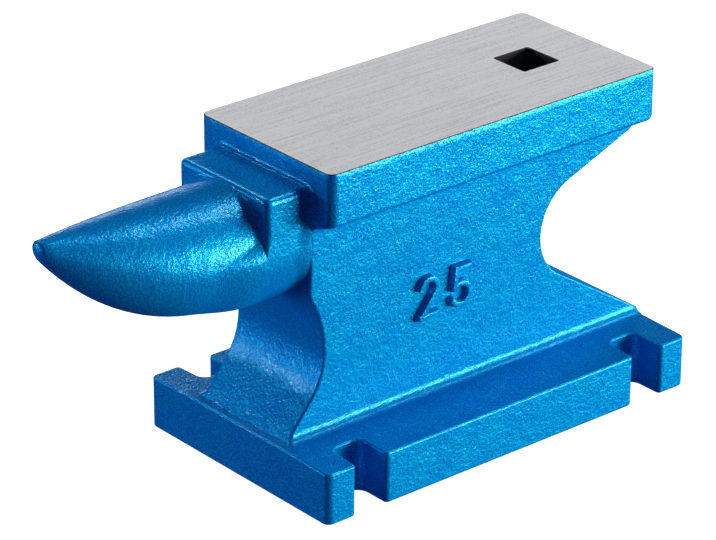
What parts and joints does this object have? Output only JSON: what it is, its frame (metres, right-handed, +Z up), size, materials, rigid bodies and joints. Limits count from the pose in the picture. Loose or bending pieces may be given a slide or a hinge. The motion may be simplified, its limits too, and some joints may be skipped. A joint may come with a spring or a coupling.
{
  "type": "single horn anvil",
  "caption": "Blacksmith's bench anvil: flat steel face with a square hardie hole, stepped cutting table, round horn, waisted body and a broad base with open bolt slots.",
  "frame": {"origin": "centre of the flat underside of the base, where it stands on the bench", "axes": "+X along the anvil from horn to heel, +Y across it towards the far side, +Z up through the face"},
  "size_m": [0.367, 0.144, 0.178],
  "materials": {
    "blue_enamel": "metallic blue hammer-texture enamel over rough cast iron",
    "ground_steel": "surface-ground lengthways, bare"
  },
  "bodies": {
    "root": {"base": "blue_enamel", "waist": "blue_enamel", "body_block": "blue_enamel", "heel_block": "blue_enamel", "face_plate": "ground_steel", "cutting_table": "blue_enamel", "horn_root": "blue_enamel", "horn": "blue_enamel"}
  },
  "joints": []
}
